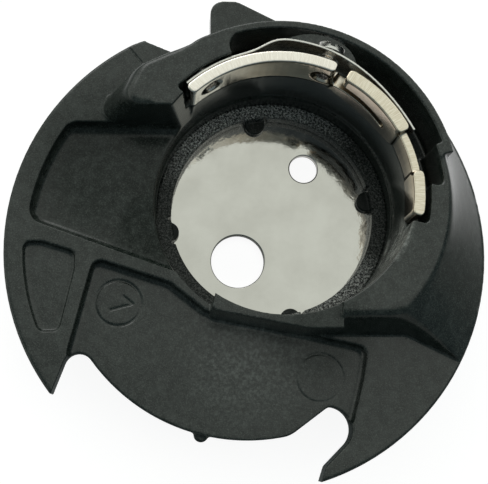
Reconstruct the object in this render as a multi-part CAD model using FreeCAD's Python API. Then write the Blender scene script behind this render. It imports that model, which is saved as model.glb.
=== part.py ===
import FreeCAD, Part
import math
import os

# Drop-in bobbin case of a sewing machine with a horizontal rotary hook.
# Z is the axis of the bobbin, the underside of the cup lies at Z 0, and all sizes are millimetres.

# Bobbin well and the cup round it
well_r = 11.0
well_relief = 0.2
well_relief_z = 4.0
cup_wall = 1.8
cup_edge = 0.4

# Base ring with its lugs, pressed into a rebate of the cup, and the steel base plate under it
ring_top = 2.0
ring_step = 0.5
ring_seat_z = 1.4
ledge_width = 1.4
plate_grip = 0.7
base_thick = 0.7
lug_r = 0.97
lug_reaches = (1.2, 1.28, 0.62, 0.58)
lug_first_az = 9.5
lug_thick = 0.6
lug_relief = 0.25
lug_relief_width = 0.35
big_hole_r = 2.53
big_hole_at = (-3.25, -4.30)
small_hole_r = 1.36
small_hole_at = (3.25, 4.90)

# Running rim that turns in the hook's race, and the flange inside it
rim_r = 21.4
rim_at = (-2.76, -4.03)
rim_top = 7.5
rim_thick = 2.3
rim_edge = 0.3

# Front of the flange: a horn on the left, the belly, and a hooked horn on the right
# Its points are pairs of inset from the rim and angle about the rim's centre
belly_inset = 4.4
horn_tip = (-1.94, -139.47)
horn_root = (4.61, -152.82)
horn_arch_r = 1.25
notch_start = (4.26, -78.87)
notch_top = (5.61, -63.84)
notch_side = (3.96, -60.42)
notch_end = (2.12, -64.30)
hook_corner = (1.12, -71.37)
hook_tip = (-0.55, -74.65)
notch_start_r = 2.6
notch_top_r = 0.7
hook_corner_r = 0.35
nub_r = 0.65
nub_drop = 0.4
nub_at = (4.42, -104.11)

# Pockets in the upper side of the flange
pocket_depth = 1.5
pocket_rim = 1.9
pocket_corner_r = 1.4
pocket_floor_r = 0.9
rib_left = (-24.0, -1.15)
rib_right = (-5.0, -7.95)
side_depth = 0.6
side_rim = 1.7
side_corners = [(-20.9, -3.85), (-17.95, -4.75), (-17.95, -6.3), (-19.15, -11.7)]
side_corner_r = 0.7
side_floor_r = 0.3
belly_drop = 1.2
belly_corners = [(-16.35, -5.25), (-9.7, -7.4), (-6.6, -9.85), (3.6, -12.2), (7.65, -13.1), (7.2, -15.8),
                 (6.1, -19.9), (4.6, -20.2), (-1.0, -26.0), (-18.0, -26.0), (-18.4, -13.3)]
belly_corner_r = 0.9
belly_floor_r = 0.5

# Tension housing round the back of the well, with a block at either end
house_top = 12.5
house_wall = 0.7
house_start_az = 12.6
left_wall_az = 115.0
left_top_run = 6.6
left_foot_run = 10.0
left_front_y = 7.1
left_nose_x = -16.4
left_crest_x = -14.1
left_round = 1.2
left_lead = 0.75
left_lead_az = 165.0
right_crest_width = 3.05
right_crest_az = -45.9
right_end_x = 4.6
right_turn_inset = 0.43
right_turn_az = -52.56
right_foot_turn = (5.36, -29.92)
right_foot_inset = 0.25
right_foot_az = -29.0
right_back_az = 42.0
right_house_az = 15.0
right_round = 0.8

# Front wall that guides the bobbin, and the lining that carries it on along the right block
guide_drop = 0.4
guide_gap = 0.2
guide_thick = 0.61
guide_front_az = -100.9
guide_left_run = 4.2
guide_right_run = 4.0
guide_lean = 0.5
guide_lap = 0.15
guide_round = 0.5
guide_from_az = -122.0
guide_foot = 0.2
lining_flare = 1.2
lining_to_az = -13.0

# Stop lug and the notch beside it, which the machine's position finger holds
stop_left_x = -6.12
stop_root_y = 12.0
stop_out_y = 19.05
stop_tip_x = -3.6
stop_flank = (0.9, 16.8)
stop_round = 1.2
notch_lip = (-12.1, 15.1)
notch_foot_x = -7.0
ramp_fold = (-13.75, 14.47)
ramp_foot = (-12.73, 12.95)
ramp_tilt = 14.0
ramp_size = 9.0

# Tension plate: from its root it has a thread slit, a deep stretch, a low stretch and an end tab
plate_thick = 1.05
plate_height = 3.45
plate_fit = 0.05
plate_start_az = 134.0
slit_start_az = 66.5
slit_end_az = 61.2
slit_depth = 1.9
slot_half = 0.45
slot_az = 37.0
slot_rise = 0.95
deep_az = 45.5
deep_span_az = 18.5
deep_drop = 1.05
arc_inset = 0.2
low_start_az = 26.0
low_drop = 0.7
low_thick = 0.8
tab_start_az = 8.0
tab_end_az = -11.8
tab_inset = 0.15
tab_room = 0.3
tab_room_az = 2.4
tab_room_r = 0.4

# Room behind the plate: a wide stretch, a narrow one and a slot for the root of the spring
room_width = 2.1
room_start_az = 110.5
room_corner_r = 1.2
room_step_az = 17.0
room_end_az = 2.0
room_narrow = 0.65
root_room = 0.45
root_gap = 0.2
end_gap_az = 1.0
root_end_az = 2.4

# Leaf spring outside the plate: the angles along it, and its gap from the plate at each
leaf_thick = 0.2
leaf_height = 3.2
leaf_drop = 0.3
leaf_az = [132.5, 122.0, 111.0, 100.5, 96.5, 92.5, 84.0, 71.0, 56.0, 40.0, 25.0]
leaf_gap = [0.08, 0.08, 0.10, 0.28, 0.62, 0.94, 1.00, 0.80, 0.45, 0.18, 0.20]

# Two slotted screws with radial axes, and the window that lets a screwdriver reach the second
thread_r = 0.7
thread_fit = 0.03
tip_inset = 0.1
sink_depth = 0.35
sink_reach = 0.6
head_r = 1.25
head_thick = 0.6
slot_width = 0.4
slot_depth = 0.3
hole_fit = 0.3
fix_az = 123.3
fix_z = 10.8
fix_web = 0.8
fix_bore_fit = 0.2
tune_az = 71.0
tune_z = 10.4
tune_rise = 1.0
tune_gap = 0.35
window_az = 74.5
window_r = 3.45
window_z = 8.4

# Sizes that follow from the ones above
flange_low = rim_top - rim_thick
cup_r = well_r + cup_wall
upper_r = well_r + well_relief
lip_r = well_r - ledge_width
ring_seat_r = well_r + ring_step
base_r = lip_r + plate_grip
plate_out = upper_r + plate_thick
plate_low = house_top - plate_height
room_out = plate_out + room_width
house_r = room_out + house_wall
right_crest_r = upper_r + right_crest_width
floor_z = rim_top - pocket_depth
belly_z = rim_top - belly_drop
side_z = rim_top - side_depth
guide_r = well_r - guide_gap
guide_top = house_top - guide_drop
leaf_top = house_top - leaf_drop
leaf_low = leaf_top - leaf_height
fix_seat = plate_out + root_room + fix_web
tune_seat = plate_out + tune_rise + tune_gap
core_r = 0.75 * well_r
far_r = 2 * house_r
above = 2 * house_top
below = -house_top


def point(x, y, z=0.0):
    return FreeCAD.Vector(x, y, z)


def polar(r, az, z=0.0, centre=(0.0, 0.0)):
    a = math.radians(az)
    return point(centre[0] + r * math.cos(a), centre[1] + r * math.sin(a), z)


def line(a, b):
    return Part.LineSegment(a, b).toShape()


def arc(a, b, c):
    return Part.Arc(a, b, c).toShape()


def loop(corners):
    ring = [point(*c) for c in corners]
    return [line(a, b) for a, b in zip(ring, ring[1:] + ring[:1])]


def lift(edges, z0, z1):
    face = Part.Face(Part.Wire(Part.__sortEdges__(edges)))
    face.translate(point(0, 0, z0))
    return face.extrude(point(0, 0, z1 - z0))


def panel(corners):
    return Part.Face(Part.makePolygon(corners + corners[:1]))


def drum(r, z0, z1, centre=(0.0, 0.0)):
    return Part.makeCylinder(r, z1 - z0, point(centre[0], centre[1], z0))


def rod(r, az, z, r0, r1):
    return Part.makeCylinder(r, r1 - r0, polar(r0, az, z), polar(1, az))


def sector(r0, r1, az0, az1, z0, z1):
    mid = (az0 + az1) / 2
    inner = arc(polar(r0, az0), polar(r0, mid), polar(r0, az1))
    outer = arc(polar(r1, az0), polar(r1, mid), polar(r1, az1))
    ends = [line(polar(r0, az), polar(r1, az)) for az in (az0, az1)]
    return lift([inner, outer] + ends, z0, z1)


def upright(shape):
    picked = []
    for edge in shape.Edges:
        a = edge.Vertexes[0].Point
        b = edge.Vertexes[-1].Point
        if math.hypot(a.x - b.x, a.y - b.y) < 1e-6 and abs(a.z - b.z) > 1e-6:
            picked.append(edge)
    return picked


def level(shape, z):
    return [e for e in shape.Edges if all(abs(v.Point.z - z) < 1e-6 for v in e.Vertexes)]


def nearest(edges, place):
    return min(edges, key=lambda e: e.CenterOfMass.distanceToPoint(place))


def round_corner(solid, at, r):
    mid = point(at[0], at[1], solid.CenterOfGravity.z)
    return solid.makeFillet(r, [nearest(upright(solid), mid)])


def scoop(solid, corner_r, floor_r, z):
    solid = solid.makeFillet(corner_r, upright(solid))
    return solid.makeFillet(floor_r, level(solid, z))


def on_rim(inset, az):
    return polar(rim_r - inset, az, 0.0, rim_at)


def flange():
    body = drum(rim_r, flange_low, rim_top, rim_at)
    body = body.makeFillet(rim_edge, level(body, rim_top))
    horn = on_rim(*horn_tip)
    root = on_rim(*horn_root)
    a, b, c, d = [on_rim(*p) for p in (notch_start, notch_top, notch_side, notch_end)]
    e = on_rim(*hook_corner)
    f = on_rim(*hook_tip)
    g = point(a.x, f.y)
    front = lift(loop([horn, root, (f.x, root.y), (f.x, 2 * horn.y)]), below, above)
    front = front.cut(drum(rim_r - belly_inset, below, above, rim_at))
    mouth = lift([line(a, b), arc(b, c, d), line(d, e), line(e, f), line(f, g), line(g, a)], below, above)
    body = body.cut(front.fuse(mouth))
    for corner, r in ((root, horn_arch_r), (a, notch_start_r), (b, notch_top_r), (e, hook_corner_r)):
        body = round_corner(body, corner, r)
    return body


def left_wall_y(x):
    tangent = polar(house_r, left_wall_az)
    run = polar(1.0, left_wall_az + 90.0)
    return tangent.y + (x - tangent.x) * run.y / run.x


def stop_notch():
    foot = [(x, left_wall_y(x)) for x in (notch_foot_x, stop_left_x)]
    corners = [notch_lip] + foot + [(stop_left_x, 2 * stop_out_y), (notch_lip[0], 2 * stop_out_y)]
    return lift(loop(corners), below, above)


def ramp():
    along = (point(*ramp_foot) - point(*ramp_fold)).normalize()
    out = point(-along.y, along.x)
    a = math.radians(ramp_tilt)
    start = point(ramp_fold[0], ramp_fold[1], rim_top) - along * (ramp_size / 3)
    slope = (out * math.cos(a) - point(0, 0, math.sin(a))) * ramp_size
    rise = point(0, 0, ramp_size)
    return panel([start, start + slope, start + slope + rise, start + rise]).extrude(along * ramp_size)


def stop_lug():
    tips = [(stop_left_x, stop_out_y), (stop_tip_x, stop_out_y)]
    corners = [(stop_left_x, stop_root_y)] + tips + [stop_flank, (stop_flank[0], stop_root_y)]
    lug = lift(loop(corners), flange_low, rim_top)
    for tip in tips:
        lug = round_corner(lug, tip, stop_round)
    return lug


def block(foot, top, rounds, r):
    wires = []
    for edges, z in ((foot, rim_top), (top, house_top)):
        wire = Part.Wire(Part.__sortEdges__(edges))
        wire.translate(point(0, 0, z))
        wires.append(wire)
    solid = Part.makeLoft(wires, True, True)
    return solid.makeFillet(r, [nearest(solid.Edges, place) for place in rounds])


def left_block():
    tangent = polar(house_r, left_wall_az)
    run = polar(1.0, left_wall_az + 90.0)
    nose = point(left_nose_x, left_front_y)
    crest = point(left_crest_x, left_front_y)
    foot = tangent + run * left_foot_run
    corner = tangent + run * left_top_run
    inner = [tangent, polar(core_r, left_wall_az), point(-core_r, left_front_y)]
    rounds = [(crest + corner) / 2 + point(0, 0, house_top)]
    rounds.append((crest + nose) / 2 + point(0, 0, (house_top + rim_top) / 2))
    return block(loop([nose, foot] + inner), loop([crest, corner] + inner), rounds, left_round)


def right_block():
    turn = on_rim(*right_foot_turn)
    low = [point(right_end_x, turn.y), turn, on_rim(right_foot_inset, right_foot_az),
           on_rim(right_foot_inset, right_back_az)]
    low_mid = on_rim(right_foot_inset, (right_foot_az + right_back_az) / 2)
    turn = polar(right_crest_r - right_turn_inset, right_turn_az)
    high = [point(right_end_x, turn.y), turn, polar(right_crest_r, right_crest_az),
            polar(right_crest_r, right_house_az)]
    high_mid = polar(right_crest_r, (right_crest_az + right_house_az) / 2)
    e = polar(core_r, right_house_az)
    f = point(right_end_x, -core_r)
    rings = []
    for corners, mid in ((low, low_mid), (high, high_mid)):
        a, b, c, d = corners
        rings.append([line(a, b), line(b, c), arc(c, mid, d), line(d, e), line(e, f), line(f, a)])
    mids = [high_mid, (high[0] + high[1]) / 2, (high[1] + high[2]) / 2]
    return block(rings[0], rings[1], [m + point(0, 0, house_top) for m in mids], right_round)


def guide_wall():
    middle = polar(guide_r + guide_thick, guide_front_az)
    run = polar(1.0, guide_front_az + 90.0)
    left = middle - run * guide_left_run
    turn = middle + run * guide_right_run
    right_x = right_end_x + guide_lap
    corners = [left, turn, (right_x, turn.y), (right_x, -core_r), (left.x + guide_lean, -core_r)]
    wall = round_corner(lift(loop(corners), belly_z, guide_top), left, guide_round)
    end_az = -math.degrees(math.acos(right_end_x / guide_r))
    foot = sector(core_r, upper_r + guide_foot, guide_from_az, end_az, well_relief_z, rim_top)
    lining = sector(core_r, upper_r + guide_foot, end_az, lining_to_az, well_relief_z, house_top)
    flare = polar(-lining_flare, end_az)
    lining = lining.cut(drum(guide_r + lining_flare, below, above, flare))
    return [wall.fuse(foot).cut(drum(guide_r, below, above)), lining]


def lead_in():
    cone = Part.makeCone(upper_r, upper_r + left_lead, house_top - floor_z, point(0, 0, floor_z))
    return cone.common(sector(core_r, far_r, plate_start_az, left_lead_az, below, above))


def well():
    relief = drum(upper_r, well_relief_z, above)
    return drum(well_r, below, above).fuse([relief, drum(ring_seat_r, below, ring_seat_z)])


def flange_pocket():
    rib_far = point(*rib_left) * 2 - point(*rib_right)
    corners = [(rib_far.x, left_front_y), (rib_right[0], left_front_y), rib_right, rib_far]
    tool = lift(loop(corners), floor_z, above).common(drum(rim_r - pocket_rim, floor_z, above, rim_at))
    return scoop(tool, pocket_corner_r, pocket_floor_r, floor_z)


def side_pocket():
    far_x = rim_at[0] - 2 * rim_r
    corners = [(far_x, side_corners[0][1])] + side_corners + [(far_x, side_corners[-1][1])]
    tool = lift(loop(corners), side_z, above).common(drum(rim_r - side_rim, side_z, above, rim_at))
    return scoop(tool, side_corner_r, side_floor_r, side_z)


def belly_recess():
    return scoop(lift(loop(belly_corners), belly_z, above), belly_corner_r, belly_floor_r, belly_z)


def deep_stretch(r0, r1, fit):
    half = plate_out * math.sin(math.radians(deep_span_az))
    bend_r = (half ** 2 + deep_drop ** 2) / (2 * deep_drop)
    low = plate_low - 2 * deep_drop
    band = sector(r0, r1, deep_az - deep_span_az, deep_az + deep_span_az, low, plate_low + deep_drop)
    return band.common(rod(bend_r + fit, deep_az, plate_low - deep_drop + bend_r, 0.0, far_r))


def tension_room():
    outer = plate_out + plate_fit
    seat = sector(core_r, outer, tab_end_az, plate_start_az + root_end_az, plate_low, above)
    deep = deep_stretch(core_r, outer, plate_fit)
    wide = sector(plate_out, room_out, room_step_az, room_start_az, rim_top, above)
    wide = round_corner(wide, polar(room_out, room_start_az), room_corner_r)
    narrow = sector(plate_out, room_out - room_narrow, room_end_az, room_step_az + end_gap_az, rim_top, above)
    root_from = room_start_az - end_gap_az
    root_to = plate_start_az + root_end_az
    root = sector(plate_out, plate_out + root_room, root_from, root_to, leaf_low - root_gap, above)
    window = rod(window_r, window_az, window_z, (plate_out + room_out) / 2, far_r)
    window = window.common(drum(far_r, rim_top, above))
    tab_to = tab_end_az - tab_room_az
    tab = sector(core_r, plate_out + tab_room, tab_to, tab_start_az, plate_low, above)
    tab = round_corner(tab, polar(plate_out + tab_room, tab_to), tab_room_r)
    return [seat, deep, wide, narrow, root, window, tab]


def case_body():
    body = flange().cut([stop_notch(), ramp()])
    cup = drum(cup_r, 0.0, rim_top)
    cup = cup.makeFillet(cup_edge, level(cup, 0.0))
    house = sector(core_r, house_r, house_start_az, left_wall_az, flange_low, house_top)
    nub = drum(nub_r, flange_low - nub_drop, flange_low + nub_drop, on_rim(*nub_at))
    body = body.fuse([stop_lug(), cup, house, left_block(), right_block(), nub])
    body = body.cut([well(), flange_pocket(), side_pocket(), belly_recess(), lead_in()])
    body = body.fuse(guide_wall())
    hole = rod(thread_r + hole_fit, fix_az, fix_z, plate_out, far_r)
    counterbore = rod(head_r + fix_bore_fit, fix_az, fix_z, fix_seat, far_r)
    return body.cut(tension_room() + [hole, counterbore]).removeSplitter()


def ring_lug(az, reach):
    tip = lip_r - reach + lug_r
    end = polar(tip, az)
    root = polar(base_r, az)
    side = polar(lug_r, az + 90.0)
    nose = arc(end + side, polar(tip - lug_r, az), end - side)
    flanks = [line(root + side, end + side), line(end - side, root - side)]
    return lift(flanks + [nose, line(root - side, root + side)], base_thick, base_thick + lug_thick)


def lug_bar(az, half):
    side = polar(half, az + 90.0)
    inner = polar(core_r, az)
    outer = polar(lip_r + lug_relief, az)
    return lift(loop([inner - side, outer - side, outer + side, inner + side]), base_thick, above)


def lug_cut(az):
    return lug_bar(az, lug_r + lug_relief_width).cut(lug_bar(az, lug_r))


def base_ring():
    ring = drum(well_r, 0.0, ring_top).fuse(drum(ring_seat_r, 0.0, ring_seat_z))
    ring = ring.cut([drum(lip_r, below, above), drum(base_r, below, base_thick)])
    step = 360.0 / len(lug_reaches)
    turns = [lug_first_az + i * step for i in range(len(lug_reaches))]
    lugs = [ring_lug(az, reach) for az, reach in zip(turns, lug_reaches)]
    return ring.cut([lug_cut(az) for az in turns]).fuse(lugs).removeSplitter()


def base_plate():
    big = drum(big_hole_r, below, above, big_hole_at)
    small = drum(small_hole_r, below, above, small_hole_at)
    return drum(base_r, 0.0, base_thick).cut([big, small])


def thread_slot():
    facing = (slit_start_az + slot_az) / 2
    back = polar(3 * plate_thick, facing)
    start = polar(upper_r, (slit_start_az + slit_end_az) / 2, house_top - slit_depth)
    end = polar(upper_r, slot_az, plate_low + slot_rise)
    rounds = [Part.makeCylinder(slot_half, 2 * back.Length, p - back, back) for p in (start, end)]
    side = (end - start).cross(back).normalize() * slot_half
    face = panel([start + side - back, end + side - back, end - side - back, start - side - back])
    return rounds + [face.extrude(back * 2)]


def screw_holes(r):
    return [rod(r, fix_az, fix_z, core_r, far_r), rod(r, tune_az, tune_z, core_r, far_r)]


def sink(az, z):
    start = polar(upper_r + sink_depth - sink_reach, az, z)
    return Part.makeCone(thread_r + sink_reach, thread_r, sink_reach, start, polar(1, az))


def tension_plate():
    inset = upper_r - arc_inset
    root = sector(upper_r, plate_out, slit_end_az, plate_start_az, plate_low, house_top)
    bent = sector(inset, plate_out, low_start_az, slit_start_az, plate_low, house_top)
    deep = deep_stretch(inset, plate_out, 0.0)
    low_from = low_start_az + end_gap_az
    low_to = tab_start_az - end_gap_az
    low = sector(upper_r, upper_r + low_thick, low_to, low_from, plate_low, house_top - low_drop)
    tab = sector(upper_r - tab_inset, plate_out - tab_inset, tab_end_az, tab_start_az, plate_low, house_top)
    slit = sector(core_r, far_r, slit_end_az, slit_start_az, house_top - slit_depth, above)
    plate = root.fuse([bent, deep, low, tab])
    holes = screw_holes(thread_r + thread_fit) + [sink(fix_az, fix_z), sink(tune_az, tune_z)]
    return plate.cut([slit] + thread_slot() + holes).removeSplitter()


def tension_spring():
    sides = []
    for extra in (0.0, leaf_thick):
        curve = Part.BSplineCurve()
        curve.interpolate([polar(plate_out + gap + extra, az) for az, gap in zip(leaf_az, leaf_gap)])
        sides.append(curve.toShape())
    ends = [line(a.Point, b.Point) for a, b in zip(sides[0].Vertexes, sides[1].Vertexes)]
    return lift(sides + ends, leaf_low, leaf_top).cut(screw_holes(thread_r + hole_fit))


def screw(az, z, seat):
    head = rod(head_r, az, z, seat, seat + head_thick)
    shank = rod(thread_r, az, z, upper_r + tip_inset, seat)
    across = polar(slot_width, az + 90.0)
    out = polar(head_thick, az)
    start = polar(seat + head_thick - slot_depth, az, z - 2 * head_r) - across / 2
    slot = panel([start, start + across, start + across + out, start + out]).extrude(point(0, 0, 4 * head_r))
    return head.fuse(shank).cut(slot).removeSplitter()


nodes = {
    "case_body": case_body(),
    "base_ring": base_ring(),
    "base_plate": base_plate(),
    "tension_plate": tension_plate(),
    "tension_spring": tension_spring(),
    "fixing_screw": screw(fix_az, fix_z, fix_seat),
    "tension_screw": screw(tune_az, tune_z, tune_seat),
}

os.makedirs("parts", exist_ok=True)
for name, shape in nodes.items():
    shape.exportStep("parts/" + name + ".step")
    print(name, shape.isValid(), len(shape.Solids), round(shape.Volume, 2))
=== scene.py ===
import math

import bmesh
import bpy
from mathutils import Matrix, Vector


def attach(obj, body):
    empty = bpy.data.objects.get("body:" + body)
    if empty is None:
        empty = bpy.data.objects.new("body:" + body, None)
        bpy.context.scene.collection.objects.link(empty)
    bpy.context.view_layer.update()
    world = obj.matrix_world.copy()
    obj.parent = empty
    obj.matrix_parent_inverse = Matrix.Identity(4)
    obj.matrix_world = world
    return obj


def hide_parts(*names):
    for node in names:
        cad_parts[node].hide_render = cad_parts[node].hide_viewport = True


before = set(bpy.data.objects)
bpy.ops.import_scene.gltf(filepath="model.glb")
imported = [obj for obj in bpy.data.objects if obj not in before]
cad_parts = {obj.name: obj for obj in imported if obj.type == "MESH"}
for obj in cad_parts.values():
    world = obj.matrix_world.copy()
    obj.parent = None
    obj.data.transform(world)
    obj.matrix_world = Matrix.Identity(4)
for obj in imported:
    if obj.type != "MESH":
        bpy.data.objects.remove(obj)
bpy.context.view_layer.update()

# Case body: the one black moulding that carries everything, with the running rim, the cup and the
# tension housing. Glass-filled plastic, injection moulded, so every edge has a small natural round
# and the skin a fine grain; the tool left marks in the belly, the rim and the wall of the well.
mm = 0.001


def new_object(name, data):
    made = bpy.data.objects.new(name, data)
    bpy.context.scene.collection.objects.link(made)
    return made


def own_copy(name, node):
    merge_reach = 0.00001 * mm
    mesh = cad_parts[node].data.copy()
    mesh.materials.clear()
    joined = bmesh.new()
    joined.from_mesh(mesh)
    bmesh.ops.remove_doubles(joined, verts=joined.verts, dist=merge_reach)
    joined.to_mesh(mesh)
    joined.free()
    return new_object(name, mesh)


def settle(piece):
    seen = piece.evaluated_get(bpy.context.evaluated_depsgraph_get())
    mesh = bpy.data.meshes.new_from_object(seen)
    piece.modifiers.clear()
    piece.data = mesh


def add_smooth(piece, passes):
    smooth = piece.modifiers.new("round", "SMOOTH")
    smooth.factor = 0.5
    smooth.iterations = passes
    return smooth


def round_edges(piece, grid, passes):
    # The remesh counts in millimetres here, so the mesh is scaled up and back again.
    piece.data.transform(Matrix.Scale(1 / mm, 4))
    remesh = piece.modifiers.new("skin", "REMESH")
    remesh.mode = "VOXEL"
    remesh.voxel_size = grid
    add_smooth(piece, passes)
    settle(piece)
    piece.data.transform(Matrix.Scale(mm, 4))


def soften(piece, passes, weight):
    group = piece.vertex_groups.new(name="soft")
    for vertex in piece.data.vertices:
        amount = weight(vertex.co / mm)
        if amount > 0:
            group.add([vertex.index], amount, "REPLACE")
    add_smooth(piece, passes).vertex_group = group.name
    settle(piece)
    piece.vertex_groups.clear()


def ease(value, low, high):
    t = max(0.0, min(1.0, (value - low) / (high - low)))
    return t * t * (3 - 2 * t)


def turn_of(at):
    return math.degrees(math.atan2(at.y, at.x))


def thin_out(piece, triangles):
    count = sum(len(face.vertices) - 2 for face in piece.data.polygons)
    if count > triangles:
        fewer = piece.modifiers.new("fewer", "DECIMATE")
        fewer.ratio = triangles / count
        fewer.use_collapse_triangulate = True
        settle(piece)
    piece.data.shade_smooth()
    weigh = piece.modifiers.new("shade", "WEIGHTED_NORMAL")
    weigh.mode = "FACE_AREA"
    weigh.keep_sharp = False
    settle(piece)


def put(tree, kind, inputs=None, **settings):
    made = tree.nodes.new(kind)
    for key, value in settings.items():
        setattr(made, key, value)
    for key, value in (inputs or {}).items():
        if isinstance(value, bpy.types.NodeSocket):
            tree.links.new(value, made.inputs[key])
        else:
            made.inputs[key].default_value = value
    return made


def new_finish(name):
    finish = bpy.data.materials.new(name)
    finish.use_nodes = True
    tree = finish.node_tree
    place = put(tree, "ShaderNodeTexCoord").outputs["Object"]
    return finish, tree, place, tree.nodes["Principled BSDF"]


def noise(tree, place, size, detail=2.0, rough=0.5):
    values = {"Vector": place, "Scale": 1 / size, "Detail": detail, "Roughness": rough}
    return put(tree, "ShaderNodeTexNoise", values).outputs["Fac"]


def span(tree, value, low, high, to_low=0.0, to_high=1.0):
    values = {0: value, 1: low, 2: high, 3: to_low, 4: to_high}
    return put(tree, "ShaderNodeMapRange", values, clamp=True).outputs[0]


def blend(tree, amount, first, second):
    values = {0: amount, 6: first, 7: second}
    return put(tree, "ShaderNodeMix", values, data_type="RGBA").outputs[2]


def tint(tree, amount, first, second):
    return blend(tree, amount, (*first, 1), (*second, 1))


def maths(tree, operation, a, b=0.0):
    return put(tree, "ShaderNodeMath", {0: a, 1: b}, operation=operation).outputs[0]


def apart(tree, place, centre):
    values = {0: place, 1: Vector(centre) * mm}
    return put(tree, "ShaderNodeVectorMath", values, operation="DISTANCE").outputs["Value"]


def reach(tree, place):
    return put(tree, "ShaderNodeVectorMath", {0: place}, operation="LENGTH").outputs["Value"]


def from_axis(tree, place):
    level = put(tree, "ShaderNodeVectorMath", {0: place, 1: (1, 1, 0)}, operation="MULTIPLY")
    return reach(tree, level.outputs[0])


def relief(tree, height, strength, depth, shader):
    values = {"Strength": strength, "Distance": depth, "Height": height}
    plug(tree, put(tree, "ShaderNodeBump", values).outputs[0], shader, "Normal")


def plug(tree, value, shader, socket):
    tree.links.new(value, shader.inputs[socket])


# Sizes of the pressed marks are in millimetres: circles by centre and radius, strokes by their ends.
belly_z = 6.3
rim_z = 7.5
flat_reach = 0.03
fold_reach = 0.4
mark_width = 0.14
mark_end = 1.5
stamp_ring = [((-14.20, -9.13), 2.0)]
stamp_figure = [((-14.9, -9.75), (-12.9, -9.2)), ((-12.9, -9.2), (-13.75, -8.55))]
pin_ring = [((3.48, -15.69), 2.1)]
fold_line = [((-13.52, 14.19), (-12.34, 12.77))]
crease_line = [((-17.17, 9.41), (-14.86, 10.22))]
pressed_marks = [(belly_z, flat_reach, 0.10, stamp_ring, stamp_figure),
                 (belly_z, flat_reach, 0.045, pin_ring, []),
                 (rim_z, fold_reach, 0.14, [], fold_line),
                 (rim_z, flat_reach, 0.025, [], crease_line)]
seam_z = 4.0
seam_depth = 0.09
well_wall = (10.7, 11.3)


def groove(near):
    return math.exp(-near * near * 2)


def press_marks(mesh):
    for height, reach_z, depth, circles, strokes in pressed_marks:
        for vertex in mesh.vertices:
            if abs(vertex.co.z / mm - height) > reach_z:
                continue
            at = vertex.co.xy / mm
            away = [abs((at - Vector(centre)).length - r) for centre, r in circles]
            for a, b in strokes:
                run = Vector(b) - Vector(a)
                t = max(0.0, min(1.0, (at - Vector(a)).dot(run) / run.length_squared))
                away.append((at - Vector(a) - run * t).length)
            near = min(away) / mark_width
            if near < mark_end:
                vertex.co.z -= depth * mm * groove(near)


def press_seam(mesh):
    for vertex in mesh.vertices:
        at = vertex.co / mm
        away = at.xy.length
        near = abs(at.z - seam_z) / mark_width
        if well_wall[0] < away < well_wall[1] and near < mark_end:
            vertex.co.xy = vertex.co.xy * (1 + seam_depth / away * groove(near))


# Each block whose crest is worn soft: its turn from and to, the fade at its start, heights, radii.
soft_blocks = [(-63, 12, 5, (8.0, 9.0), (12.7, 13.4)), (118, 158, 8, (7.9, 8.8), (13.2, 13.8))]


def crest(at):
    turn = turn_of(at)
    for start, end, fade, heights, radii in soft_blocks:
        if start < turn < end:
            return ease(at.z, *heights) * ease(at.xy.length, *radii) * ease(turn, start, start + fade)
    return 0.0


case_grid = 0.11
case_rounding = 5
crest_rounding = 110
case_triangles = 190000
case = own_copy("case", "case_body")
round_edges(case, case_grid, case_rounding)
soften(case, crest_rounding, crest)
press_marks(case.data)
press_seam(case.data)
thin_out(case, case_triangles)

# The plastic: dark and cloudy, with pale glass specks, flecks and mottling and a scuffed place on the
# belly. A pale patch on the wall of the well, at the front right, is a painted highlight for the sheen
# of light on that wall. Three places get less gloss so they render darker: painted shade on the floor
# of the left pocket and on the left wall of the well, and a plain darker patch at the guide wall.
no_colour = (0.0, 0.0, 0.0)
plastic_dark = (0.0040, 0.0070, 0.0056)
plastic_pale = (0.0070, 0.0105, 0.0085)
speck_pale = (0.056, 0.062, 0.056)
fleck_pale = (0.016, 0.018, 0.016)
scuff_pale = (0.060, 0.065, 0.061)
mottle_pale = (0.017, 0.019, 0.018)
painted_sheen_pale = (0.52, 0.53, 0.50)
scuff_centre = (-2.6, -13.8, 6.5)
painted_sheen_centre = (10.2, -4.4, 4.8)
case_gloss = 0.44
# Places given less gloss so they render darker (centre, inner and outer radius, least gloss): painted
# shade on the floor of the left pocket and on the left wall of the well, and a plain darker patch at the
# guide wall.
dull_places = [((-15, 3, 5.5), 4, 9, 0.20), ((-11, -2, 4.5), 3, 6, 0.12), ((3.0, -11.5, 9.0), 4, 6, 0.28)]

case_skin, tree, place, shader = new_finish("black_case_plastic")
cloud = noise(tree, place, 4 * mm, 5, 0.6)
mottle = noise(tree, place, 0.9 * mm, 4, 0.7)
fleck = noise(tree, place, 0.32 * mm, 2, 0.6)
speck = noise(tree, place, 0.11 * mm, 2, 0.7)
scuffed = span(tree, apart(tree, place, scuff_centre), 1.5 * mm, 7 * mm, 1, 0)
scuffed = maths(tree, "MULTIPLY", scuffed, span(tree, fleck, 0.42, 0.65, 0.15, 1))
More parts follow.
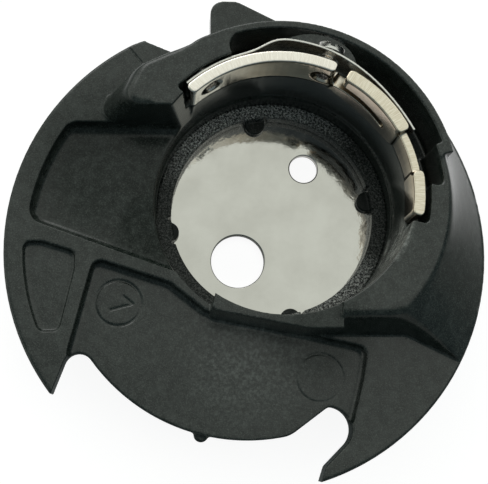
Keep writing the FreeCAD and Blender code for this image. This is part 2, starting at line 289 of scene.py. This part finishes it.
# Painted highlight: a pale patch on the front right of the wall of the well, standing for the sheen of
# light there.
upright = put(tree, "ShaderNodeMapping", {"Vector": place, "Scale": (1, 1, 0.6)}).outputs[0]
painted_sheen = span(tree, apart(tree, upright, painted_sheen_centre), 1.2 * mm, 3.6 * mm, 1, 0)
painted_sheen = maths(tree, "MULTIPLY", painted_sheen, span(tree, speck, 0.3, 0.7, 0.2, 1))
on_wall = span(tree, from_axis(tree, place), 11.2 * mm, 11.5 * mm, 1, 0)
painted_sheen = maths(tree, "MULTIPLY", painted_sheen, on_wall)
painted_sheen = maths(tree, "MULTIPLY", painted_sheen, span(tree, mottle, 0.38, 0.62, 0.15, 1))
colour = tint(tree, span(tree, cloud, 0.35, 0.7), plastic_dark, plastic_pale)
layers = [(span(tree, speck, 0.50, 0.80), speck_pale), (span(tree, fleck, 0.55, 0.8), fleck_pale),
          (scuffed, scuff_pale), (span(tree, mottle, 0.42, 0.70), mottle_pale), (painted_sheen, painted_sheen_pale)]
for amount, pale in layers:
    layer = tint(tree, amount, no_colour, pale)
    colour = put(tree, "ShaderNodeVectorMath", {0: colour, 1: layer}, operation="ADD").outputs[0]
plug(tree, colour, shader, "Base Color")
plug(tree, span(tree, cloud, 0.3, 0.7, 0.21, 0.16), shader, "Roughness")
gloss = case_gloss
for centre, inner, outer, least in dull_places:
    dulled = span(tree, apart(tree, place, centre), inner * mm, outer * mm, least, case_gloss)
    gloss = maths(tree, "MINIMUM", dulled, gloss)
plug(tree, gloss, shader, "Specular IOR Level")
relief(tree, maths(tree, "ADD", speck, fleck), 0.25, 0.03 * mm, shader)
shader.inputs["IOR"].default_value = 1.52

case.data.materials.append(case_skin)
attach(case, "case")
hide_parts("case_body")

# Base ring: a second black moulding pressed into the foot of the cup, with four small lugs that hold
# the steel disc down. The same plastic, left rough from the tool; on its ledge, at the back and at the
# front right only, pale specks are painted into the colour as glints where light catches it.
ring_grid = 0.07
ring_rounding = 4
ring_triangles = 70000
ring_dark = (0.006, 0.009, 0.008)
ring_painted_glint = (0.72, 0.73, 0.70)

ring = own_copy("ring", "base_ring")
round_edges(ring, ring_grid, ring_rounding)
thin_out(ring, ring_triangles)

ring_skin, tree, place, shader = new_finish("rough_ring_plastic")
flat = put(tree, "ShaderNodeSeparateXYZ", {0: place}).outputs
turn = maths(tree, "ARCTAN2", flat["Y"], flat["X"])
ledge = span(tree, from_axis(tree, place), 9.5 * mm, 9.8 * mm, 0.05, 1)
# Where the painted glints go: the ledge, at the back and at the front right; there it also gets more
# gloss and the rough bump.
back_from = span(tree, turn, 0.7, 1.3, 0.15, 1)
back_to = span(tree, turn, 2.4, 2.9, 1, 0.15)
front_from = span(tree, turn, -1.9, -1.5, 0.1, 1)
front_to = span(tree, turn, -0.7, -0.35, 1, 0.15)
back = maths(tree, "MULTIPLY", back_from, back_to)
front = maths(tree, "MULTIPLY", front_to, front_from)
rough = maths(tree, "MULTIPLY", ledge, maths(tree, "MAXIMUM", back, front))
speck = noise(tree, place, 0.07 * mm, 3, 0.7)
lump = noise(tree, place, 0.2 * mm, 2, 0.6)
coarse = maths(tree, "ADD", speck, maths(tree, "MULTIPLY", lump, 0.6))
# Pale specks painted into the colour: painted glints, on top of the real grain of the ledge.
painted_glint = maths(tree, "MULTIPLY", span(tree, coarse, 0.76, 0.96), rough)
plug(tree, tint(tree, painted_glint, ring_dark, ring_painted_glint), shader, "Base Color")
plug(tree, span(tree, lump, 0.3, 0.7, 0.20, 0.32), shader, "Roughness")
plug(tree, span(tree, rough, 0.2, 1, 0.12, 0.5), shader, "Specular IOR Level")
relief(tree, maths(tree, "MULTIPLY", coarse, rough), 1.0, 0.08 * mm, shader)

ring.data.materials.append(ring_skin)
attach(ring, "case")
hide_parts("base_ring")

# Base plate: a thin steel disc at the foot of the well, stamped with two round holes, plated and
# polished, and held under the ring's lip.
disc_r = 10.3 * mm
disc_thick = 0.7 * mm
disc_holes = [((-3.25 * mm, -4.30 * mm), 2.53 * mm), ((3.25 * mm, 4.90 * mm), 1.36 * mm)]
disc_triangles = 60000
stamped_round = 0.12 * mm
disc_dull = (0.485, 0.470, 0.440)
disc_bright = (0.550, 0.535, 0.505)


def circle_on(curve, centre, r, points=16):
    k = 4 / 3 * math.tan(math.pi / 2 / points) * r
    spline = curve.splines.new("BEZIER")
    spline.bezier_points.add(points - 1)
    spline.use_cyclic_u = True
    for i, knot in enumerate(spline.bezier_points):
        a = 2 * math.pi * i / points
        out = Vector((math.cos(a), math.sin(a), 0))
        along = Vector((-math.sin(a), math.cos(a), 0))
        knot.co = Vector((*centre, 0)) + out * r
        knot.handle_left = knot.co - along * k
        knot.handle_right = knot.co + along * k


outline = bpy.data.curves.new("disc", "CURVE")
outline.dimensions = "2D"
outline.fill_mode = "BOTH"
outline.resolution_u = 12
outline.extrude = disc_thick / 2 - stamped_round
outline.bevel_depth = stamped_round
outline.bevel_resolution = 3
outline.offset = -stamped_round
circle_on(outline, (0, 0), disc_r)
for centre, r in disc_holes:
    circle_on(outline, centre, r)
drawn = new_object("disc", outline)
seen = drawn.evaluated_get(bpy.context.evaluated_depsgraph_get())
disc_mesh = bpy.data.meshes.new_from_object(seen)
bpy.data.objects.remove(drawn)
disc_mesh.transform(Matrix.Translation((0, 0, disc_thick / 2)))
disc = new_object("disc", disc_mesh)
thin_out(disc, disc_triangles)

disc_skin, tree, place, shader = new_finish("polished_disc_steel")
cloud = noise(tree, place, 3 * mm, 3)
haze = noise(tree, place, 0.3 * mm, 2)
wave = noise(tree, place, 0.9 * mm, 3)
plug(tree, tint(tree, span(tree, cloud, 0.3, 0.7), disc_dull, disc_bright), shader, "Base Color")
plug(tree, span(tree, haze, 0.3, 0.7, 0.05, 0.10), shader, "Roughness")
at_edge = span(tree, reach(tree, place), 6.5 * mm, 9 * mm, 0.6, 2.2)
relief(tree, maths(tree, "MULTIPLY", wave, at_edge), 0.3, 0.02 * mm, shader)
shader.inputs["Metallic"].default_value = 1.0

disc.data.materials.clear()
disc.data.materials.append(disc_skin)
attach(disc, "case")
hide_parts("base_plate")

# Tension spring: a thin leaf of spring steel bent round the outside of the plate, clamped at its root
# by the fixing screw and set by the tension screw.
leaf_grid = 0.035
leaf_rounding = 2
leaf_triangles = 40000
leaf_dull = (0.52, 0.51, 0.49)
leaf_bright = (0.70, 0.68, 0.64)

leaf = own_copy("leaf", "tension_spring")
round_edges(leaf, leaf_grid, leaf_rounding)
thin_out(leaf, leaf_triangles)

leaf_skin, tree, place, shader = new_finish("bright_leaf_steel")
streak = put(tree, "ShaderNodeMapping", {"Vector": place, "Scale": (1, 1, 8)}).outputs[0]
rub = noise(tree, streak, 0.4 * mm, 3)
plug(tree, tint(tree, span(tree, rub, 0.3, 0.7), leaf_dull, leaf_bright), shader, "Base Color")
plug(tree, span(tree, rub, 0.3, 0.7, 0.20, 0.34), shader, "Roughness")
shader.inputs["Metallic"].default_value = 1.0

leaf.data.materials.append(leaf_skin)
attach(leaf, "spring")
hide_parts("tension_spring")

# Tension plate: a curved strip of nickel-plated steel that lines the back of the well, stamped with
# the thread slit and the slanting slot, bent round and drawn up to the housing by the fixing screw.
strip_grid = 0.05
strip_rounding = 2
edge_rounding = 70
strip_triangles = 120000
end_round = 0.42
low_from = 8.0
low_to = 26.0
# Each end: its turn, the side its metal lies on, the middle radius, half the width, the lowest height.
strip_ends = [(134.0, -1, 11.725, 0.525, 0.0), (66.5, 1, 11.725, 0.525, 10.8),
              (61.2, -1, 11.625, 0.625, 10.8), (low_to, 1, 11.625, 0.625, 11.9),
              (low_from, -1, 11.575, 0.525, 11.9), (-11.8, 1, 11.575, 0.525, 0.0)]


def round_ends(mesh):
    for vertex in mesh.vertices:
        at = vertex.co / mm
        away = at.xy.length
        turn = turn_of(at)
        for end, side, middle, half, foot in strip_ends:
            inside = side * math.radians(turn - end) * away
            if -0.1 < inside < end_round and at.z > foot:
                lost = end_round - math.sqrt(end_round ** 2 - (end_round - max(0.0, inside)) ** 2)
                new = middle + (away - middle) * (1 - lost / half)
                vertex.co.xy = vertex.co.xy * (new / away)


def strip_edges(at):
    turn = turn_of(at)
    edge = 11.1 if low_from < turn < low_to else 11.8
    joint = 1 - ease(min(abs(turn - low_to), abs(turn - low_from)), 2.0, 5.0)
    inner = 1 - ease(at.xy.length, 11.25, 11.4)
    return max(0.15, ease(at.z, edge, edge + 0.4), joint * inner)


strip = own_copy("strip", "tension_plate")
round_edges(strip, strip_grid, strip_rounding)
round_ends(strip.data)
soften(strip, edge_rounding, strip_edges)
thin_out(strip, strip_triangles)

# The strip's top is brushed on a slant; its sides are golden, cleaner at the left end, and painted
# dark low down at the right: a painted reflection of the dark well.
top_tints = ((0.77, 0.71, 0.64), (0.85, 0.80, 0.74))
used_tints = ((0.60, 0.53, 0.42), (0.72, 0.66, 0.55))
golden_tints = ((0.58, 0.47, 0.35), (0.76, 0.65, 0.51))
clean_tints = ((0.80, 0.76, 0.70), (0.92, 0.89, 0.84))
painted_dark_tints = ((0.10, 0.08, 0.06), (0.20, 0.16, 0.12))
brush_slant = math.radians(35)
brush_r = 12 * mm

strip_skin, tree, place, shader = new_finish("nickel_strip")
flat = put(tree, "ShaderNodeSeparateXYZ", {0: place}).outputs
turn = maths(tree, "ARCTAN2", flat["Y"], flat["X"])
round_way = maths(tree, "MULTIPLY", turn, brush_r)
unrolled = put(tree, "ShaderNodeCombineXYZ", {0: round_way, 1: reach(tree, place), 2: flat["Z"]})
slant = {"Vector": unrolled.outputs[0], "Rotation": (0, 0, brush_slant), "Scale": (1, 0.12, 1)}
lines = noise(tree, put(tree, "ShaderNodeMapping", slant).outputs[0], 0.09 * mm, 3)
cloud = noise(tree, place, 1.5 * mm, 3)
normal = put(tree, "ShaderNodeTexCoord").outputs["Normal"]
upper = span(tree, put(tree, "ShaderNodeSeparateXYZ", {0: normal}).outputs["Z"], 0.5, 0.9)
brushed = span(tree, lines, 0.35, 0.65)
clouded = span(tree, cloud, 0.3, 0.7)
right_half = span(tree, turn, 1.07, 1.15, 1, 0)
left_end = span(tree, turn, 1.75, 2.1)
right_side = span(tree, turn, 0.95, 1.2, 1, 0)
lower = span(tree, flat["Z"], 10.2 * mm, 12.0 * mm, 1, 0)
top = blend(tree, right_half, tint(tree, brushed, *top_tints), tint(tree, brushed, *used_tints))
sides = blend(tree, left_end, tint(tree, clouded, *golden_tints), tint(tree, clouded, *clean_tints))
# Low down on the right the sides are painted dark: painted shade, the dark well reflected in the inner
# face.
painted_dark = maths(tree, "MULTIPLY", lower, right_side)
sides = blend(tree, painted_dark, sides, tint(tree, clouded, *painted_dark_tints))
plug(tree, blend(tree, upper, sides, top), shader, "Base Color")
plug(tree, span(tree, upper, 0, 1, 0.12, 0.26), shader, "Roughness")
relief(tree, lines, 0.2, 0.01 * mm, shader)
shader.inputs["Metallic"].default_value = 1.0

strip.data.materials.append(strip_skin)
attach(strip, "case")
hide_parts("tension_plate")

# Two slotted screws of plated steel, turned: the first holds the plate and the spring to the housing,
# the second presses on the spring and sets the tension. Their tips, deep in the hole of the plate, are
# painted dark with pale stripes: oil in the threads together with painted shade in the grooves and
# painted highlights on the crests.
screw_grid = 0.03
screw_rounding = 3
screw_triangles = 30000
screw_dull = (0.55, 0.54, 0.52)
screw_bright = (0.78, 0.77, 0.74)
oil_and_shade_dark = (0.03, 0.02, 0.015)
thread_highlight_pale = (0.42, 0.38, 0.33)

screw_skin, tree, place, shader = new_finish("plated_screw_steel")
rub = noise(tree, place, 0.35 * mm, 3)
bare = tint(tree, span(tree, rub, 0.3, 0.7), screw_dull, screw_bright)
threads = {"Vector": place, "Rotation": (0, 0, 0.6), "Scale": (1, 0.3, 0.3)}
cut = noise(tree, put(tree, "ShaderNodeMapping", threads).outputs[0], 0.16 * mm, 1)
# Dark and pale stripes at the tip: oil, painted shade in the thread grooves and painted highlights on the
# crests.
oil_and_painted_light = tint(tree, span(tree, cut, 0.45, 0.6), oil_and_shade_dark, thread_highlight_pale)
at_tip = span(tree, from_axis(tree, place), 12.0 * mm, 12.4 * mm, 1, 0)
plug(tree, blend(tree, at_tip, bare, oil_and_painted_light), shader, "Base Color")
plug(tree, span(tree, rub, 0.3, 0.7, 0.18, 0.36), shader, "Roughness")
relief(tree, rub, 0.4, 0.05 * mm, shader)
shader.inputs["Metallic"].default_value = 1.0

screw_rule = bpy.data.node_groups.new("slotted_screw", "GeometryNodeTree")
screw_rule.interface.new_socket("Geometry", in_out="INPUT", socket_type="NodeSocketGeometry")
screw_sizes = {"Head radius": 1.25 * mm, "Head thickness": 0.6 * mm, "Shank radius": 0.7 * mm,
               "Shank length": 2.0 * mm, "Thread depth": 0.12 * mm, "Pitch": 0.35 * mm,
               "Slot width": 0.4 * mm, "Slot depth": 0.3 * mm}
for label in screw_sizes:
    screw_rule.interface.new_socket(label, in_out="INPUT", socket_type="NodeSocketFloat")
screw_rule.interface.new_socket("Finish", in_out="INPUT", socket_type="NodeSocketMaterial")
screw_rule.interface.new_socket("Geometry", in_out="OUTPUT", socket_type="NodeSocketGeometry")
given = put(screw_rule, "NodeGroupInput").outputs


def rule_maths(operation, a, b=0.0):
    return maths(screw_rule, operation, a, b)


def rule_vector(x, y, z):
    return put(screw_rule, "ShaderNodeCombineXYZ", {0: x, 1: y, 2: z}).outputs[0]


def rule_moved(shape, z):
    moved = {"Geometry": shape, "Translation": rule_vector(0.0, 0.0, z)}
    return put(screw_rule, "GeometryNodeTransform", moved).outputs[0]


def rule_cylinder(sides, r, depth):
    values = {"Vertices": sides, "Radius": r, "Depth": depth}
    return put(screw_rule, "GeometryNodeMeshCylinder", values).outputs["Mesh"]


core_r = rule_maths("SUBTRACT", given["Shank radius"], given["Thread depth"])
top = rule_maths("ADD", given["Shank length"], given["Head thickness"])
half_head = rule_maths("DIVIDE", given["Head thickness"], 2.0)
head = rule_cylinder(96, given["Head radius"], given["Head thickness"])
head = rule_moved(head, rule_maths("SUBTRACT", top, half_head))
slot_size = rule_vector(given["Slot width"], rule_maths("MULTIPLY", given["Head radius"], 4.0),
                        rule_maths("MULTIPLY", given["Slot depth"], 2.0))
slot = rule_moved(put(screw_rule, "GeometryNodeMeshCube", {"Size": slot_size}).outputs["Mesh"], top)
head = put(screw_rule, "GeometryNodeMeshBoolean", {0: head, 1: slot}, operation="DIFFERENCE")
shank = rule_cylinder(64, core_r, given["Shank length"])
shank = rule_moved(shank, rule_maths("DIVIDE", given["Shank length"], 2.0))
run = rule_maths("SUBTRACT", given["Shank length"], given["Pitch"])
helix = {"Resolution": 48, "Rotations": rule_maths("DIVIDE", run, given["Pitch"]),
         "Start Radius": core_r, "End Radius": core_r, "Height": run}
ridge = {"Resolution": 6, "Radius": given["Thread depth"]}
thread = {"Curve": put(screw_rule, "GeometryNodeCurveSpiral", helix).outputs[0],
          "Profile Curve": put(screw_rule, "GeometryNodeCurvePrimitiveCircle", ridge).outputs[0],
          "Fill Caps": True}
thread = put(screw_rule, "GeometryNodeCurveToMesh", thread).outputs[0]
thread = rule_moved(thread, rule_maths("DIVIDE", given["Pitch"], 2.0))
whole = put(screw_rule, "GeometryNodeJoinGeometry")
for shape in (head.outputs[0], shank, thread):
    screw_rule.links.new(shape, whole.inputs[0])
solid = put(screw_rule, "GeometryNodeRealizeInstances", {0: whole.outputs[0]}).outputs[0]
dressed = {"Geometry": solid, "Material": given["Finish"]}
put(screw_rule, "NodeGroupOutput", {0: put(screw_rule, "GeometryNodeSetMaterial", dressed).outputs[0]})
sockets = {item.name: item.identifier for item in screw_rule.interface.items_tree
           if item.in_out == "INPUT"}

# Each screw: its piece, node and body, then its turn in degrees, its height and the radius of its seat.
tip_r = 11.3
screws = (("holding_screw", "fixing_screw", "case", 123.3, 10.8, 13.5),
          ("setting_screw", "tension_screw", "screw", 71.0, 10.4, 13.6))
for name, node, body, turn, height, seat in screws:
    screw = new_object(name, bpy.data.meshes.new(name))
    made = screw.modifiers.new("screw", "NODES")
    made.node_group = screw_rule
    for label, size in screw_sizes.items():
        made[sockets[label]] = size
    made[sockets["Shank length"]] = (seat - tip_r) * mm
    made[sockets["Finish"]] = screw_skin
    settle(screw)
    out = Vector((math.cos(math.radians(turn)), math.sin(math.radians(turn)), 0))
    outward = Matrix((Vector((-out.y, out.x, 0)), Vector((0, 0, 1)), out)).transposed().to_4x4()
    tip = (out * tip_r + Vector((0, 0, height))) * mm
    screw.data.transform(Matrix.Translation(tip) @ outward)
    round_edges(screw, screw_grid, screw_rounding)
    thin_out(screw, screw_triangles)
    screw.data.materials.clear()
    screw.data.materials.append(screw_skin)
    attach(screw, body)
    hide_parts(node)

# Studio: a white table, a wide soft light from above and behind, and the camera that looks down into
# the well, a little from the front.
table_half = 3.0
table_gap = 0.05 * mm
table_corners = [(-table_half, -table_half, -table_gap), (table_half, -table_half, -table_gap),
                 (table_half, table_half, -table_gap), (-table_half, table_half, -table_gap)]
table = bpy.data.meshes.new("table")
table.from_pydata(table_corners, [], [(0, 1, 2, 3)])
floor = new_object("table", table)
paper = bpy.data.materials.new("white_paper")
paper.use_nodes = True
tree = paper.node_tree
tree.nodes.remove(tree.nodes["Principled BSDF"])
path = put(tree, "ShaderNodeLightPath").outputs
ground = put(tree, "ShaderNodeTexCoord").outputs["Object"]
flat = put(tree, "ShaderNodeSeparateXYZ", {0: ground}).outputs
# For glossy rays the table glows white only close to the object, behind it and to the right: a painted
# reflection that lays the bright sheen on the right flank of the case. Camera and transmission rays see
# the whole table white.
to_right = maths(tree, "MULTIPLY", flat["X"], 0.6)
to_back = maths(tree, "MULTIPLY", flat["Y"], 0.8)
rear = span(tree, maths(tree, "ADD", to_right, to_back), -0.005, 0.015)
near = maths(tree, "MULTIPLY", span(tree, reach(tree, ground), 0.028, 0.048, 1, 0), rear)
near = maths(tree, "MULTIPLY", path["Is Glossy Ray"], near)
seen = maths(tree, "MAXIMUM", path["Is Camera Ray"], near)
seen = maths(tree, "MAXIMUM", seen, path["Is Transmission Ray"])
plain = put(tree, "ShaderNodeBsdfDiffuse", {"Color": (0.4, 0.4, 0.4, 1)}).outputs[0]
shade = put(tree, "ShaderNodeBsdfDiffuse", {"Color": (0.2, 0.2, 0.2, 1)}).outputs[0]
glow = put(tree, "ShaderNodeEmission", {"Color": (1, 1, 1, 1), "Strength": 0.9}).outputs[0]
lit = put(tree, "ShaderNodeAddShader", {0: shade, 1: glow}).outputs[0]
mixed = put(tree, "ShaderNodeMixShader", {0: seen, 1: plain, 2: lit}).outputs[0]
tree.links.new(mixed, tree.nodes["Material Output"].inputs["Surface"])
table.materials.append(paper)

sky_dark = (0.125, 0.165, 0.18)
sky_bright = (0.95, 1.00, 0.93)
sky_seen = (0.95, 0.95, 0.95, 1)
world = bpy.data.worlds.new("studio")
world.use_nodes = True
bpy.context.scene.world = world
tree = world.node_tree
heading = put(tree, "ShaderNodeTexCoord").outputs["Generated"]
flat = put(tree, "ShaderNodeSeparateXYZ", {0: heading}).outputs
swing = span(tree, flat["Z"], 0.3, 1.0, -0.4, 0.6)
sideways = maths(tree, "MULTIPLY", flat["X"], swing)
backwards = maths(tree, "MULTIPLY", flat["Y"], 0.83)
across = maths(tree, "ADD", sideways, backwards)
soft_step = {0: across, 1: -0.33, 2: 0.15}
behind = put(tree, "ShaderNodeMapRange", soft_step, interpolation_type="SMOOTHSTEP").outputs[0]
sky = tint(tree, behind, sky_dark, sky_bright)
eye = put(tree, "ShaderNodeLightPath").outputs["Is Camera Ray"]
shown = blend(tree, eye, sky, sky_seen)
tree.links.new(shown, tree.nodes["Background"].inputs["Color"])

lamp = bpy.data.lights.new("softbox", "AREA")
lamp.shape = "RECTANGLE"
lamp.size = 0.30
lamp.size_y = 0.18
lamp.energy = 0.35
softbox = new_object("softbox", lamp)
softbox.location = (-0.10, 0.34, 0.20)
softbox.rotation_euler = (-softbox.location).to_track_quat("-Z", "Y").to_euler()

image_width = 488
focal_pixels = 966
lens = bpy.data.cameras.new("camera")
lens.sensor_fit = "HORIZONTAL"
lens.sensor_width = 36.0
lens.lens = focal_pixels / image_width * 36.0
lens.clip_start = 0.005
camera = new_object("camera", lens)
eye_point = Vector((-10.02, -20.75, 91.0)) * mm
tilt = Vector((11.45, -4.62, 0.0))
aim = Matrix.Rotation(math.radians(tilt.length), 4, tilt.normalized())
camera.matrix_world = Matrix.Translation(eye_point) @ aim
bpy.context.scene.camera = camera
bpy.context.scene.view_settings.view_transform = "Standard"
